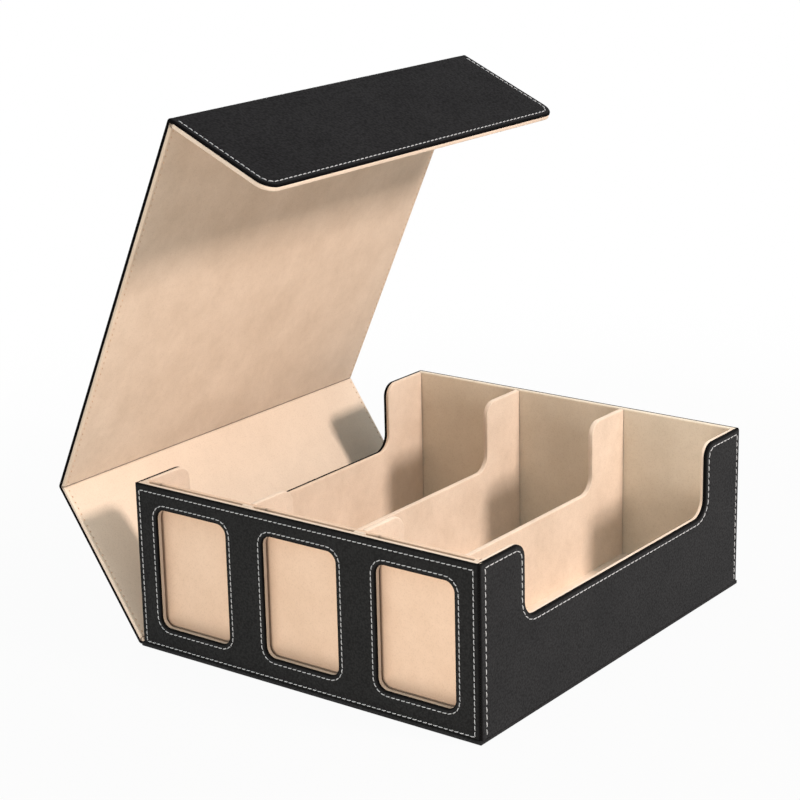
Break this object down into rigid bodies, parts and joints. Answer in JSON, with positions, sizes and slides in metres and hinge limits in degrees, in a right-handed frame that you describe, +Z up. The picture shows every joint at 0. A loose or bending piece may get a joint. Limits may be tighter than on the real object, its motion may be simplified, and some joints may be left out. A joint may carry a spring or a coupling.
{
  "type": "trading card storage box",
  "caption": "Leather-covered box with suede-lined rows for trading cards, display windows in its front wall and a wrap-around hinged lid",
  "frame": {"origin": "centre of the tray's footprint on the table, on the underside of the base panel", "axes": "+X from the lid's hinge side to the side where the flap closes, +Y from the windowed front wall to the back wall, +Z up"},
  "size_m": [0.3658, 0.336, 0.3787],
  "materials": {
    "leather": "black grained synthetic leather",
    "suede": "cream synthetic suede with a short nap",
    "board": "rigid greyboard",
    "magnet": "nickel-plated disc magnets"
  },
  "bodies": {
    "tray": {"base_leather": "leather", "base_board": "board", "floor_board": "board", "floor_lining_left": "suede", "floor_lining_middle": "suede", "floor_lining_right": "suede", "front_leather": "leather", "front_board": "board", "front_lining": "suede", "pocket_rest": "board", "pocket_spacer_left_end": "suede", "pocket_spacer_left": "suede", "pocket_spacer_right": "suede", "pocket_spacer_right_end": "suede", "pocket_back_board": "board", "pocket_back_cover": "suede", "left_wall_leather": "leather", "left_wall_board": "board", "left_wall_lining": "suede", "right_wall_leather": "leather", "right_wall_board": "board", "right_wall_lining": "suede", "back_wall_leather": "leather", "back_wall_board": "board", "back_wall_lining": "suede", "divider_left_board": "board", "divider_left_cover": "suede", "divider_right_board": "board", "divider_right_cover": "suede", "wall_magnets": "magnet"},
    "side_panel": {"base_fold": "leather", "side_panel_leather": "leather", "side_panel_board": "board", "side_panel_lining": "suede"},
    "top_panel": {"top_fold": "leather", "top_panel_leather": "leather", "top_panel_board": "board", "top_panel_lining": "suede"},
    "flap": {"flap_fold": "leather", "flap_leather": "leather", "flap_board": "board", "flap_lining": "suede", "flap_magnets": "magnet"}
  },
  "joints": [
    {"name": "side_panel_fold", "type": "hinge", "parent": "tray", "child": "side_panel", "pos_m": [-0.1489, 0, 0.0027], "axis": [0, 1, 0], "range_deg": [-55.8, 34.2]},
    {"name": "top_panel_fold", "type": "hinge", "parent": "side_panel", "child": "top_panel", "pos_m": [-0.21815, 0, 0.1046], "axis": [0, 1, 0], "range_deg": [-58.5, 31.5]},
    {"name": "flap_fold", "type": "hinge", "parent": "top_panel", "child": "flap", "pos_m": [-0.0956, 0, 0.37601], "axis": [0, 1, 0], "range_deg": [-90, 0]}
  ]
}
